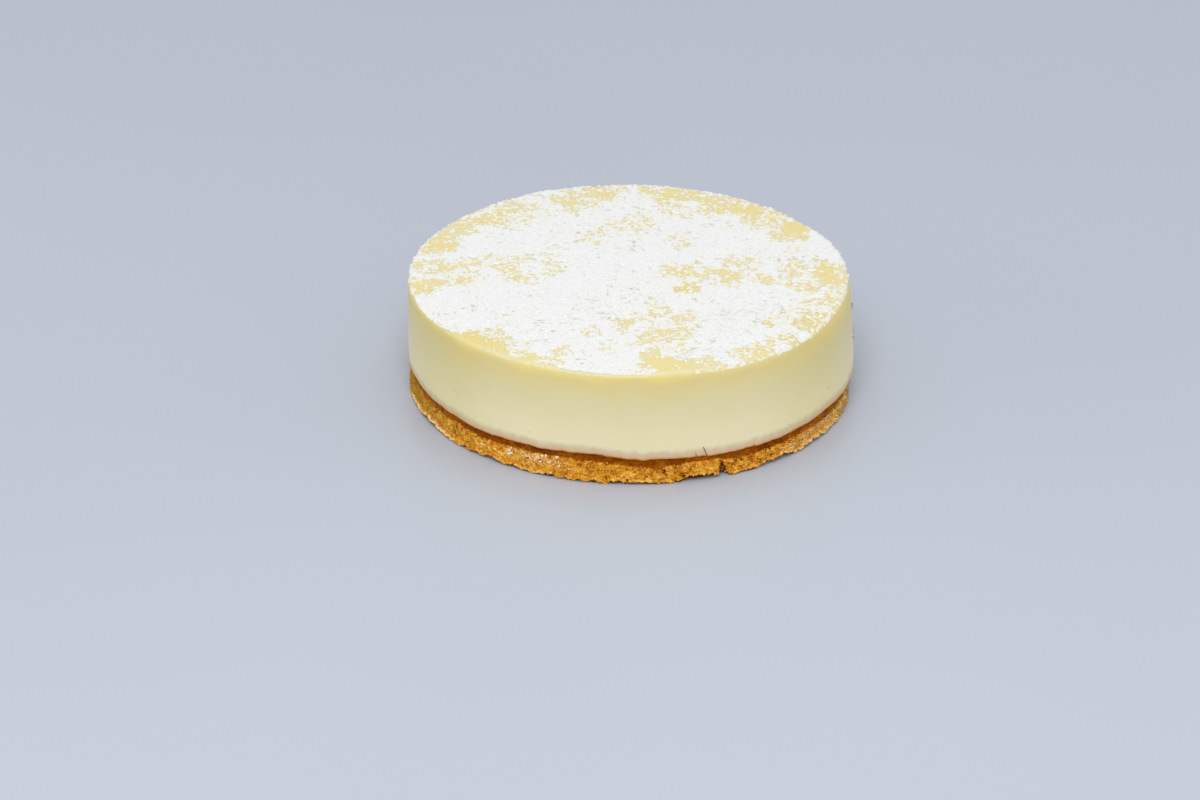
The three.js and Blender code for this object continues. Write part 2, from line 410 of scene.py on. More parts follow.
# How far round the rim the sugar reaches: angle in degrees, the rim's bend there in radians, and
# how much of the rim it covers.
SUGAR_EDGES = [(-180, 0.95, 0.88), (-154, 0.95, 0.88), (-146, 0.7, 0.8), (-140, 0.05, 0.8),
               (-112, 0.05, 0.8), (-106, 0.6, 0.8), (-90, 0.7, 0.8), (-78, 0.8, 0.75), (-68, 1.4, 0.75),
               (-55, 1.45, 0.78), (-45, 1.45, 0.8), (-36, 1.35, 0.65), (-25, 1.15, 0.4), (-12, 1.1, 0.45),
               (10, 1.15, 0.75), (60, 1.05, 0.88), (180, 0.95, 0.88)]
FURTHEST_BEND = 1.9

# Stretches of the rim that are barer: angle and half width in degrees, and how much barer.
BARE_RIMS = [(144, 24, 0.85), (38, 12, 0.75), (54, 6, 0.5), (75, 9, 0.7), (100, 9, 0.5)]


def place_on_top(angles, distance):
    """Where a place would lie on the flat top if the rim didn't bend down."""
    points = filling_points(angles, distance, FILLING_TOP)
    return points[:, 0], points[:, 1]


def sugar_cover(x, y):
    """The share of the surface that the sugar covers at a place on the top."""
    places = flat_places(x, y)
    distance = np.hypot(x, y)
    stretched = PATCH_STRETCH_FROM + PATCH_STRETCH * (distance - PATCH_STRETCH_FROM)
    inwards = np.minimum(distance, stretched) / np.maximum(distance, 1)
    warped_x = (x + 1.8 * noise(places, 7, salt=11)) * inwards
    warped_y = (y + 1.8 * noise(places, 7, salt=12)) * inwards
    cover = 0.99 - 0.05 * smoothstep(noise(places, 8, salt=13), 0.0, 0.7)
    ragged = 0.28 * noise(places, 4.5, salt=14)
    for middle_x, middle_y, width, length, bareness in THIN_PATCHES:
        share = np.hypot((warped_x - middle_x) * 2 / width, (warped_y - middle_y) * 2 / length)
        cover *= 1 - bareness * (1 - smoothstep(share + ragged, 0.59, 1.58))
    return mix(cover, smoothstep(cover, 0, 1), 0.1)


def sugar_lumps(x, y):
    """The sugar's unevenness. It clings longest to the high places."""
    places = flat_places(0.85 * x, 1.05 * y)
    coarse_near, _, coarse_number = packed_grains(places, 1.7, salt=20)
    fine_near, _, fine_number = packed_grains(places, 0.95, salt=30)
    lumps = 0.4 * (0.55 - coarse_near) + 0.35 * (0.55 - fine_near)
    lumps += 0.4 * (coarse_number - 0.5) + 0.25 * (fine_number - 0.5)
    return lumps + 0.12 * noise(places, 4, salt=40) + 0.1 * noise(places, 0.8, salt=41)


SHARES = np.linspace(0, 1, 101)
LUMP_LEVELS = np.quantile(sugar_lumps(*np.random.default_rng(3).uniform(-80, 80, (2, 20000))), SHARES)


def along_rim(angles, column):
    """One column of SUGAR_EDGES at each angle."""
    rows = np.array(SUGAR_EDGES)
    return np.interp(np.degrees(half_turn(angles)), rows[:, 0], rows[:, column])


def sugar_edge(angles):
    """How far round the rim the sugar reaches, as a bend."""
    return along_rim(angles, 1)


def rim_cover(angles):
    """The share of the rim that the sugar covers."""
    return along_rim(angles, 2) - lift_near(angles, BARE_RIMS)


def heavy_rim(angles):
    """1 at the back, where the sugar lies thick and lumpy on the rim, and 0 at the front."""
    return smoothstep(np.sin(angles), -0.3, 0.2)


def crease_depth(x, y):
    """How deep the fine creases are at a place on the top."""
    from_middle = np.hypot(x - CREASED_PLACE[0], y - CREASED_PLACE[1])
    creased = 1 - smoothstep(from_middle, CREASED_RADIUS - CREASE_FADE, CREASED_RADIUS)
    joint = packed_grains(flat_places(x, 0.45 * y), 2.8, salt=45)[1]
    return 0.13 * creased * (1 - smoothstep(joint, 0.0, 0.16))


def sugar_height(angles, distance):
    """How high the sugar lies over the filling. Where it is bare, it is below the surface."""
    x, y = place_on_top(angles, distance)
    lumps = sugar_lumps(x, y)
    bend = rim_bend(distance)
    edge = sugar_edge(angles)
    heavy = heavy_rim(angles)
    on_rim = smoothstep(bend, mix(0.3, 0.05, heavy), mix(0.75, 0.5, heavy)) * smoothstep(edge, 0.5, 1.2)
    cover = mix(sugar_cover(x, y), rim_cover(angles), 0.8 * on_rim)
    level = np.interp(1 - cover, SHARES, LUMP_LEVELS)
    shown = smoothstep(lumps - level, -0.2, 0.2)
    thickness = 0.25 - 0.13 * on_rim * (1 - heavy) + mix(0.3, mix(0.15, 0.6, heavy), on_rim) * lumps
    thickness -= crease_depth(x, y)
    places = flat_places(x, y)
    ragged = 0.3 * noise(places, 2.2, salt=42) + 0.1 * noise(places, 0.9, salt=43)
    ragged_edge = edge + mix(0.5, 1, heavy) * ragged
    shown *= 1 - smoothstep(bend, ragged_edge - 0.25, ragged_edge)
    highest = SUGAR_THICKNESS - 0.06 + RIM_ROUND * (1 - np.cos(np.clip(bend, 0, 0.7)))
    return np.clip(mix(-SUGAR_SUNK, thickness, shown), -SUGAR_SUNK, highest)


def make_icing_sugar(material):
    """The sugar as one skin over the top and the rim, without the faces that would be buried."""
    reach = FLAT_RADIUS + RIM_ROUND * FURTHEST_BEND
    counts = [max(1, 6 * ring) for ring in range(SUGAR_RINGS + 1)]
    angles = np.concatenate([ring_angles(count) for count in counts])
    distance = np.repeat(reach * np.arange(SUGAR_RINGS + 1) / SUGAR_RINGS, counts)
    height = sugar_height(angles, distance)
    rings = np.split(over_the_top(angles, distance, height), np.cumsum(counts)[:-1])
    points, triangles = join_rings(rings)
    shows = (height[triangles] > 0).any(axis=1)
    used, triangles = np.unique(triangles[shows], return_inverse=True)
    shaded = smoothstep(sugar_cover(*place_on_top(angles[used], distance[used])), 0.78, 0.96)
    shaded *= 1 - smoothstep(rim_bend(distance[used]), -0.8, -0.2)
    make_piece("icing_sugar", points[used], triangles.reshape(-1, 3), material,
               {"thickness": height[used], "shaded": shaded})


def make_sugar_clumps(name, angles, distance, radii, seed, material):
    """Separate clumps of sugar at places on the top and the rim."""
    height = np.maximum(0, sugar_height(angles, distance))
    on_rim = smoothstep(rim_bend(distance), 0.2, 0.6)
    lift = np.minimum(height + 0.15 * radii, mix(SUGAR_THICKNESS - 0.5 * radii, 0.5 * radii, on_rim))
    middles = over_the_top(angles, distance, lift)
    points, triangles = lumpy_grains(middles, radii, seed, flatness=0.7)
    points = np.clip(points, CAD_LOW, CAD_HIGH)
    make_piece(name, points, triangles, material,
               {"thickness": np.full(len(points), LUMP_THICKNESS)})


def make_sugar_specks(material):
    """Small clumps all over the top, most of them where the sugar thins out."""
    random = np.random.default_rng(7)
    count = 60000
    distance = (FLAT_RADIUS + 1.5) * np.sqrt(random.random(count))
    angles = 2 * math.pi * random.random(count)
    cover = sugar_cover(*place_on_top(angles, distance))
    chance = 0.03 + 0.4 * smoothstep(cover, 0.0, 0.4) * (1 - smoothstep(cover, 0.6, 0.9))
    kept = random.random(count) < chance
    radii = mix(0.12, 0.42, random.random(count) ** 2)
    make_sugar_clumps("sugar_specks", angles[kept], distance[kept], radii[kept], 8, material)


def make_rim_clumps(material):
    """Larger clumps that make the rim ragged, as far round it as the sugar reaches."""
    random = np.random.default_rng(9)
    count = 4200
    angles = 2 * math.pi * random.random(count)
    bend = 1.25 * random.random(count) ** 0.7
    distance = FLAT_RADIUS + RIM_ROUND * bend
    x, y = place_on_top(angles, distance)
    heavy = heavy_rim(angles)
    crowded = smoothstep(noise(flat_places(x, y), 4, salt=44), -0.5, 0.5)
    chance = mix(0.06, 0.9, heavy) * crowded * mix(0.35, 1.0, sugar_cover(x, y))
    chance = chance * smoothstep(rim_cover(angles), 0.25, 0.7)
    kept = (bend < sugar_edge(angles) + 0.15) & (random.random(count) < chance)
    radii = mix(0.25, 0.85, random.random(count) ** 1.6) * mix(0.45, 1, heavy)
    make_sugar_clumps("sugar_rim_clumps", angles[kept], distance[kept], radii[kept], 10, material)


# ---- filling

def wall_radius(rise):
    """The radius of the filling's side, which bulges low down, at a share of its height."""
    return mix(FILLING_BULGE_RADIUS, FILLING_TOP_RADIUS, rise ** SLUMP_POWER)


def wall_ring(angles, radius, height, unevenness):
    """A ring of the filling's side, with a share of its faint waves."""
    points = filling_points(angles, radius, height)
    waves = 0.1 * noise(points, 16, salt=51) + 0.04 * noise(points, 5, salt=52)
    return filling_points(angles, radius + unevenness * waves, height)


def filling_rings():
    """The rings of the filling, from the middle of its top to the middle of its underside."""
    top_steps = int(FLAT_RADIUS / TOP_RING_STEP)
    rings = []
    for step in range(top_steps):
        rings.append(over_the_top(ring_angles(max(1, 6 * step)), FLAT_RADIUS * step / top_steps, 0))
    angles = ring_angles(WALL_COLUMNS)
    for step in range(RIM_STEPS + 1):
        bend = 0.5 * math.pi * step / RIM_STEPS
        rings.append(over_the_top(angles, FLAT_RADIUS + RIM_ROUND * bend, 0))
    edge = lip_edge(angles)
    for step in range(1, WALL_STEPS + 1):
        rise = 1 - step / WALL_STEPS
        height = mix(edge + LIP_ROUND, WALL_TOP, rise)
        rings.append(wall_ring(angles, wall_radius(rise), height, smoothstep(step, 0, 5)))
    for step in range(1, LIP_STEPS + 1):
        bend = 0.5 * math.pi * step / LIP_STEPS
        radius = FILLING_BULGE_RADIUS - LIP_ROUND * (1 - math.cos(bend))
        height = edge + LIP_ROUND * (1 - math.sin(bend))
        rings.append(wall_ring(angles, radius, height, math.cos(bend)))
    rings.append(filling_points(np.zeros(1), 0, FILLING_BOTTOM))
    return rings


# Where a painted warm reflection tints the cream more yellow, on both sides as seen from the front: angle
# and half width in degrees, and how much.
CREAM_PAINTED_REFLECTION = [(-146, 27, 1.0), (-34, 27, 1.0)]
PAINTED_REFLECTION_TINT = (0.95, 0.935, 0.81, 1.0)


def make_filling(material):
    """The filling. `rise` is the height over the lip's edge, of the wall's full height at the rim."""
    points, triangles = join_rings(filling_rings())
    x, y, height = points.T
    angles = angles_of(points)
    edge = lip_edge(angles)
    on_top = smoothstep(height, WALL_TOP, FILLING_TOP - 0.3)
    far_down = smoothstep(sugar_edge(angles), 1.0, 1.4)
    veil = smoothstep(height - WALL_TOP, mix(1.0, -0.6, far_down), mix(2.0, 1.2, far_down))
    filling = make_piece("cream_filling", points, triangles, material, {
        "rise": (height - edge) * WALL_HEIGHT / (FILLING_TOP - edge),
        "dust": sugar_cover(x, y) * on_top,
        "veil": veil * smoothstep(FILLING_TOP - height, -0.05, 0.15),
        "painted_reflection": lift_near(angles, CREAM_PAINTED_REFLECTION),
    })
    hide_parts("filling")


# ---- soaked layer

# How far the soaked layer runs on behind the crumbs' top edge and behind the lip.
BEHIND_CRUMBS = 1.6
BEHIND_LIP = 0.9


def crumb_top(angles):
    """The uneven top edge of the crumbs, which climb over the soaked layer in places."""
    places = layer_points(angles, CRUMB_RADIUS, 0)
    waves = 0.4 * noise(places, 9, salt=95) + 0.5 * noise(places, 3, salt=96)
    waves += 0.35 * noise(places, 1.1, salt=97)
    level = CRUMB_TOP - 0.35 + 0.8 * base_thickness(angles)
    return level + waves + lift_near(angles, CRUMB_TOP_LIFTS)


def make_soaked_layer(material):
    """The thin moist layer, which fills the gap between the crumbs and the filling's lip."""
    angles = ring_angles(SOAKED_COLUMNS)
    bottom = crumb_top(angles) - BEHIND_CRUMBS
    top = lip_edge(angles) + BEHIND_LIP
    wave = 0.25 * np.sin(9 * angles) * np.sin(4 * angles + 1)
    rings = [layer_points(np.zeros(1), 0, FILLING_BOTTOM)]
    for step in range(SOAKED_STEPS + 1):
        share = step / SOAKED_STEPS
        height = mix(top, bottom, share)
        bulge = 0.4 * math.sin(math.pi * min(1.0, 1.4 * share + 0.05))
        places = layer_points(angles, SOAKED_RADIUS, height)
        rough = 0.3 * noise(places, 3.2, salt=61) + 0.16 * noise(places, 1.2, salt=62)
        radius = SOAKED_RADIUS - 0.6 + wave + bulge + rough - lift_near(angles, DRAWN_IN)
        rings.append(layer_points(angles, radius, height))
    rings.append(layer_points(np.zeros(1), 0, CRUMB_TOP - BEHIND_CRUMBS))
    points, triangles = join_rings(rings)
    below_lip = lip_edge(angles_of(points)) - points[:, 2]
    tone = 0.5 * noise(points, 1.0, salt=63) + 0.5 * noise(points, 4, salt=64)
    # Painted shade: the layer is darkest just under the lip and lighter further down.
    tone += 0.7 * smoothstep(below_lip, 0.5, 3.4) - 0.3
    soaked = make_piece("soaked_band", points, triangles, material, {"tone": tone})
    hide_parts("soaked_layer")


# ---- crumb base

# Where a painted reflection makes the crumbs less vivid and browner, towards both sides as seen from the
# front: angle and half width in degrees, and how much.
CRUMBS_PAINTED_REFLECTION = [(-168, 42, 1.0), (-8, 46, 1.0)]

# Holes in the crumbs: angle in degrees, height, radius.
CRUMB_PITS = [(-82, 5.6, 0.9), (-77, 2.6, 0.8), (-79, 6.6, 0.5), (-63, 6.2, 0.9), (-61.5, 5.6, 0.5),
              (-91, 2.0, 0.6), (-127, 5.2, 0.6), (-113, 6.0, 0.7), (-148, 4.4, 0.7), (-101, 6.4, 0.5)]

# Where the side slopes out to a ledge at the foot: angle and half width in degrees, and how far.
FLARED_FOOT = [(-156, 24, 1.2), (-36, 20, 0.5)]

# Where the foot draws in under the crumbs: angle and half width in degrees, and depth.
FOOT_HOLLOWS = [(-71, 7, 1.4), (-51, 6, 1.5), (-90, 5, 0.5), (-130, 6, 0.8), (-38, 6, 1.0),
                (-152, 9, 0.7), (20, 12, 1.0), (64, 9, 1.2), (118, 12, 0.9), (163, 10, 1.2)]


def crevice_depth(angles, height):
    """How deep the crevice cuts at a place on the side. It narrows upwards, and ends at the top."""
    rise = height / CRUMB_TOP
    from_middle = CRUMB_RADIUS * turn_between(angles, CREVICE_ANGLE + CREVICE_LEAN * (rise - 0.2))
    from_middle = from_middle + 0.6 * noise(layer_points(angles, CRUMB_RADIUS, height), 1.3, salt=94)
    half_width = mix(CREVICE_FOOT_HALF_WIDTH, CREVICE_TOP_HALF_WIDTH, smoothstep(rise, 0, 0.8))
    share = np.clip(1 - from_middle / half_width, 0, 1)
    depth = CREVICE_DEPTH * mix(0.3 * share, 1, smoothstep(share, 0.3, 0.7))
    return depth * (1 - smoothstep(height, 7.0, 8.4))


def pit_depth(places, angles, height):
    """How deep a place on the side lies in one of the holes in the crumbs."""
    pits = 0.7 * smoothstep(noise(places, 2.0, salt=90), 0.62, 0.85)
    for degrees, pit_height, pit_radius in CRUMB_PITS:
        aside = CRUMB_RADIUS * turn_between(angles, math.radians(degrees))
        away = np.hypot(aside, height - pit_height) / pit_radius + 0.4 * noise(places, 0.9, salt=99)
        pits = np.maximum(pits, 1 - smoothstep(away, 0.5, 1.3))
    return pits


def foot_edge(angles):
    """The height of the ragged edge under which the foot draws in, and how far it draws in."""
    places = layer_points(angles, CRUMB_RADIUS, 0)
    hollow = lift_near(angles, FOOT_HOLLOWS, 0.5, 1.1)
    edge = 1.0 + 0.7 * noise(places, 2.6, salt=91) + 0.6 * noise(places, 1.0, salt=92)
    depth = 1.0 + 0.4 * noise(places, 7, salt=93)
    return edge + 0.9 * hollow, depth + 1.6 * hollow


def crumb_side(angles, height):
    """The crumb base's rough side at each place: radius, tone of the grain, and how hollow it is, which
    sets its painted shade.
    """
    places = layer_points(angles, CRUMB_RADIUS, height)
    form = LUMP_DEPTH * noise(places, LUMP_SIZE) + GRAIN_DEPTH * noise(places, GRAIN_SIZE)
    near, joint, number = packed_grains(places, 1.1, salt=70)
    fine_near, fine_joint, fine_number = packed_grains(places, 0.6, salt=80)
    grains = 0.22 * (0.6 - near) + 0.28 * (0.6 - fine_near) + 0.16 * noise(places, 0.7, salt=75)
    grains += 0.2 * (number - 0.5) + 0.24 * (fine_number - 0.5)
    gaps = 0.4 * (1 - smoothstep(joint, 0, 0.2)) + 0.3 * (1 - smoothstep(fine_joint, 0, 0.25))
    patchy = 0.26 * noise(places, 1.8, salt=76) + 0.12 * noise(places, 5.5, salt=77)
    pits = pit_depth(places, angles, height)
    edge, depth = foot_edge(angles)
    foot = 1 - smoothstep(height, edge - 0.4, edge)
    flare = lift_near(angles, FLARED_FOOT)
    fringe = (0.5 + 0.4 * flare) * np.exp(-((height - edge - 0.35) / 0.4) ** 2)
    relief = 0.55 * form + grains - 0.15 * gaps - 0.9 * pits + fringe - depth * foot
    relief -= flare * smoothstep(height, edge + 0.3, edge + 1.7)
    crevice = crevice_depth(angles, height)
    radius = np.minimum(CRUMB_RADIUS + relief - crevice, HIGHEST_REACH) - lift_near(angles, DRAWN_IN)
    # Raised lumps are painted lighter, as lit tops; the grains' numbers and the patches are the crumbs'
    # own tone.
    tone = 0.4 * number + 0.5 * fine_number - 0.03 + 0.16 * form + patchy
    pores = smoothstep(noise(places, 1.3, salt=98), 0.45, 0.75)
    # Painted shade: darker in the gaps between grains, on low grains, in the pores, pits and crevice, and
    # under the foot.
    hollow = np.clip(0.12 + 0.4 * gaps - 0.7 * grains + 0.3 * pores + pits + foot + 0.5 * crevice, 0, 1)
    return radius, tone, hollow


def make_crumb_piece(name, points, triangles, material, tone, hollow):
    """A piece of crumbs, dusty by where it lies, with a painted reflection that makes it less vivid and
    browner towards both sides as seen from the front.
    """
    return make_piece(name, points, triangles, material, {
        "tone": tone,
        "hollow": hollow,
        "dust": side_dust(points),
        "painted_grazing_reflection": lift_near(angles_of(points), CRUMBS_PAINTED_REFLECTION),
    })


def make_crumb_base(material):
    """The base, from the middle of its top, down its rough side, to the middle of its foot."""
    angles = ring_angles(CRUMB_COLUMNS)
    edge = crumb_top(angles)
    plain = (np.full(1, 0.5), np.zeros(1))
    sections = [(layer_points(np.zeros(1), 0, CRUMB_TOP - 0.1), *plain)]
    for step in range(CRUMB_STEPS + 1):
        share = step / CRUMB_STEPS
        height = edge * (1 - share)
        radius, tone, hollow = crumb_side(angles, height)
        inset = 0.9 * (1 - smoothstep(share, 0, 0.06))
        ring = layer_points(angles, radius - inset, height)
        # Painted shade where the crumbs' top edge draws in under the soaked layer.
        sections.append((ring, tone, np.clip(hollow + 0.5 * inset, 0, 1)))
    sections.append((layer_points(np.zeros(1), 0, 0), *plain))
    rings, tones, hollows = zip(*sections)
    points, triangles = join_rings(rings)
    base = make_crumb_piece("crumb_crust", points, triangles, material, np.concatenate(tones),
                            np.concatenate(hollows))
    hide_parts("crumb_base")


def make_loose_crumbs(material):
    """Crumbs that stand proud of the base's side, and a fringe of them along its foot."""
    random = np.random.default_rng(17)
    side_count = 5400
    foot_count = 2400
    angles = 2 * math.pi * random.random(side_count + foot_count)
    radii = mix(0.14, 0.44, random.random(len(angles)) ** 2)
    height = mix(0.8, crumb_top(angles) + 0.2, random.random(len(angles)))
    height[side_count:] = foot_edge(angles[side_count:])[0] + mix(-0.2, 0.9, random.random(foot_count))
    surface = crumb_side(angles, height)[0]
    proud = radii * mix(-0.4, 0.35, random.random(len(angles)))
    proud[side_count:] = 0.45 * random.random(foot_count)
    reach = np.minimum(surface + proud, HIGHEST_REACH - 1.2 * radii)
    height = np.maximum(height, radii)
    points, triangles = lumpy_grains(layer_points(angles, reach, height), radii, seed=18)
    points[:, 2] = np.maximum(points[:, 2], 0)
    tone = random.random(len(angles))
    tone[side_count:] = mix(0.5, 1.0, tone[side_count:])
    make_crumb_piece("loose_crumbs", points, triangles, material, np.repeat(tone, GRAIN_CORNERS),
                     np.zeros(len(points)))


# Crumbs on the filling's side: angle in degrees, height, radius.
STUCK_CRUMBS = [(-97, 12.6, 0.75), (-98.2, 12.4, 0.45), (-30, 20.6, 0.24), (-118.5, 12.9, 0.3),
                (-58, 11.0, 0.35), (70, 12.4, 0.5), (152, 13.1, 0.4)]

# Thin fibres: angle in degrees, lowest and highest place, thickness.
FIBRES = [(-70.9, 10.9, 15.0, 0.2), (-73.5, 11.3, 12.8, 0.12)]

# Smears of small crumbs: angle in degrees, lowest and highest place, how many crumbs.
SMEARS = [(-0.9, 34.2, 37.0, 9), (-0.6, 20.4, 26.4, 17)]


def make_stuck_crumbs(material):
    """A few crumbs and fibres that stick to the filling's side and lip."""
    random = np.random.default_rng(29)
    spots = np.array(STUCK_CRUMBS)
    for degrees, low, high, thickness in FIBRES:
        heights = np.arange(low, high, thickness)
        lean = 0.35 * (heights - low) / CRUMB_RADIUS
        fibre = np.stack([degrees - np.degrees(lean), heights, 0 * heights + thickness], 1)
        spots = np.concatenate([spots, fibre])
    for degrees, low, high, count in SMEARS:
        smear = [random.normal(degrees, 0.7, count), random.uniform(low, high, count),
                 random.uniform(0.15, 0.42, count)]
        spots = np.concatenate([spots, np.stack(smear, 1)])
    angles, heights, radii = np.radians(spots[:, 0]), spots[:, 1], spots[:, 2]
    rise = (heights - FILLING_BOTTOM) / (WALL_TOP - FILLING_BOTTOM)
    middles = filling_points(angles, wall_radius(np.clip(rise, 0, 1)) + 0.1 * radii, heights)
    points, triangles = lumpy_grains(middles, radii, seed=19)
    make_piece("stuck_crumbs", points, triangles, material, {
        "tone": np.full(len(points), -0.1),
        "hollow": np.full(len(points), 0.7),
        "dust": np.zeros(len(points)),
    })


# Stretches of the crumbs' side that caught some of the icing sugar: first and last angle in
# degrees, lowest and highest place, how many grains, the size of the largest and how dusty.
SIDE_SUGAR = [
    (-50, -38, 0.8, 5.0, 80, 0.34, 0.5), (-42, -10, 0.6, 7.0, 420, 0.26, 0.6),
    (-122, -108, 5.6, 9.2, 80, 0.95, 0.3), (-122, -106, 4.0, 9.0, 70, 0.36, 0.3),
    (-132, -130, 5.8, 6.6, 5, 0.55, 0.2), (-10, 30, 0.5, 7.0, 150, 0.28, 0.5),
    (55, 80, 1.0, 7.5, 120, 0.35, 0.4), (120, 150, 0.5, 8.0, 140, 0.35, 0.4),
    (-180, 180, 0.5, 9.0, 160, 0.25, 0.0),
]

# Stretches of the foot's fringe that caught some: first and last angle in degrees, how many
# grains, the size of the largest and how dusty.
FOOT_SUGAR = [(-170, -141, 520, 0.45, 3.0), (-120.5, -110, 90, 0.6, 2.0), (-50, -22, 160, 0.32, 1.7),
              (30, 50, 80, 0.35, 1.5)]
SMALLEST_GRAIN = 0.13


def within(degrees, first, last):
    """1 between two angles, fading to 0 beyond them."""
    return smoothstep(degrees, first - 2, first + 3) * (1 - smoothstep(degrees, last - 3, last + 2))


def side_dust(points):
    """How dusty with icing sugar the crumbs' side is at each place."""
    angles = angles_of(points)
    degrees = np.degrees(angles)
    height = points[:, 2]
    dust = np.zeros(len(points))
    for first, last, low, high, _, _, dustiness in SIDE_SUGAR:
        up = smoothstep(height, low - 1, low + 0.5) * (1 - smoothstep(height, high - 0.5, high + 1))
        dust = np.maximum(dust, dustiness * within(degrees, first, last) * up)
    fringe = np.exp(-((height - foot_edge(angles)[0] - 0.35) / 0.45) ** 2)
    fringe *= smoothstep(noise(points, 1.5, salt=102), -0.5, 0.2)
    for first, last, _, _, dustiness in FOOT_SUGAR:
        dust = np.maximum(dust, dustiness * within(degrees, first, last) * fringe)
    return dust


def make_side_sugar(material):
    """Grains of icing sugar caught in the crumbs' side and its fringe, smaller ones the most."""
    random = np.random.default_rng(27)
    grains = []
    for first, last, low, high, count, largest, _ in SIDE_SUGAR:
        middles = random.uniform(first, last, max(2, count // 4))
        near = random.integers(len(middles), size=count)
        angles = np.radians(middles[near] + random.normal(0, 0.4, count))
        heights = random.uniform(low, high, len(middles))[near] + random.normal(0, 0.3, count)
        grains.append((angles, heights, mix(SMALLEST_GRAIN, largest, random.random(count) ** 1.5)))
    for first, last, count, largest, _ in FOOT_SUGAR:
        angles = np.radians(random.uniform(first, last, count))
        heights = foot_edge(angles)[0] + random.normal(0.5, 0.2, count)
        grains.append((angles, heights, mix(SMALLEST_GRAIN, largest, random.random(count) ** 1.5)))
    angles, heights, radii = np.concatenate(grains, axis=1)
    heights = np.clip(heights, 0.3, crumb_top(angles))
    surface = crumb_side(angles, heights)[0]
    reach = np.minimum(surface + 0.4 * radii, HIGHEST_REACH - 1.2 * radii)
    points, triangles = lumpy_grains(layer_points(angles, reach, heights), radii, seed=28)
    points[:, 2] = np.maximum(points[:, 2], 0)
    warmth = mix(0.6, 1.0, random.random(len(angles))) * (1 - 0.6 * smoothstep(radii, 0.45, 0.7))
    make_piece("side_sugar", points, triangles, material, {
        "thickness": np.full(len(points), LUMP_THICKNESS),
        "warmth": np.repeat(warmth, GRAIN_CORNERS),
    })


# ---- materials

def linear(colour):
    """A colour of three sRGB numbers from 0 to 255, as Blender's linear red, green, blue, alpha."""
    shares = np.array(colour) / 255
    low = shares / 12.92
    high = ((shares + 0.055) / 1.055) ** 2.4
    return (*np.where(shares <= 0.04045, low, high), 1.0)


class Material:
    """A material that is built from nodes. A value is a number, a colour or a node's output."""

    def __init__(self, name):
        self.result = bpy.data.materials.new(name)
        self.result.use_nodes = True
        self.tree = self.result.node_tree

    def new(self, kind):
        return self.tree.nodes.new("ShaderNode" + kind)

    def fill(self, node, values, output=0):
        """Gives a node's sockets their values, by name or number, and gives back an output."""
        for name, value in values.items():
            if isinstance(value, bpy.types.NodeSocket):
                self.tree.links.new(value, node.inputs[name])
            else:
                node.inputs[name].default_value = value
        return node.outputs[output]

    def shade(self, values):
        """Fills the shader's sockets, and gives back the finished material."""
        self.fill(self.tree.nodes["Principled BSDF"], values)
        return self.result

    def attribute(self, name):
        node = self.new("Attribute")
        node.attribute_name = name
        return node.outputs["Fac"]

    def texture(self, kind, size_mm, output, values):
        """A texture that is fixed to the object and whose lumps are about size_mm across."""
        place = self.new("TexCoord").outputs["Object"]
        return self.fill(self.new(kind), {"Vector": place, "Scale": 1 / (size_mm * MM), **values}, output)

    def noise(self, size_mm, detail=2.0, roughness=0.5):
        """Noise from 0 to 1."""
        return self.texture("TexNoise", size_mm, "Fac", {"Detail": detail, "Roughness": roughness})

    def pores(self, spacing_mm, radius_mm, share):
        """1 at the middle of small round pores, of which a share shows."""
        distance = self.texture("TexVoronoi", spacing_mm, "Distance", {})
        reach = radius_mm / spacing_mm
        pore = self.spread(distance, 0.4 * reach, reach, 1.0, 0.0)
        return self.times(pore, self.math("LESS_THAN", distance.node.outputs["Color"], share))

    def math(self, operation, first, second):
        node = self.new("Math")
        node.operation = operation
        return self.fill(node, {0: first, 1: second})

    def plus(self, first, second):
        return self.math("ADD", first, second)

    def times(self, first, second):
        return self.math("MULTIPLY", first, second)

    def spread(self, value, low, high, new_low=0.0, new_high=1.0):
        """The value moved from one range to another, and held inside it."""
        values = (value, low, high, new_low, new_high)
        return self.fill(self.new("MapRange"), dict(enumerate(values)))

    def ramp(self, value, stops):
        """A colour that changes with the value through (place, sRGB colour) stops."""
        node = self.new("ValToRGB")
        elements = node.color_ramp.elements
        while len(elements) < len(stops):
            elements.new(1.0)
        for element, (place, colour) in zip(elements, stops):
            element.position = place
            element.color = linear(colour)
        return self.fill(node, {0: value})

    def blend(self, share, first, second, kind="MIX"):
        """The first colour, turned into the second by a share."""
        node = self.new("Mix")
        node.data_type = "RGBA"
        node.blend_type = kind
        return self.fill(node, {"Factor": share, 6: first, 7: second}, 2)

    def bump(self, height, strength, distance_mm):
        values = {"Height": height, "Strength": strength, "Distance": distance_mm * MM}
        return self.fill(self.new("Bump"), values)


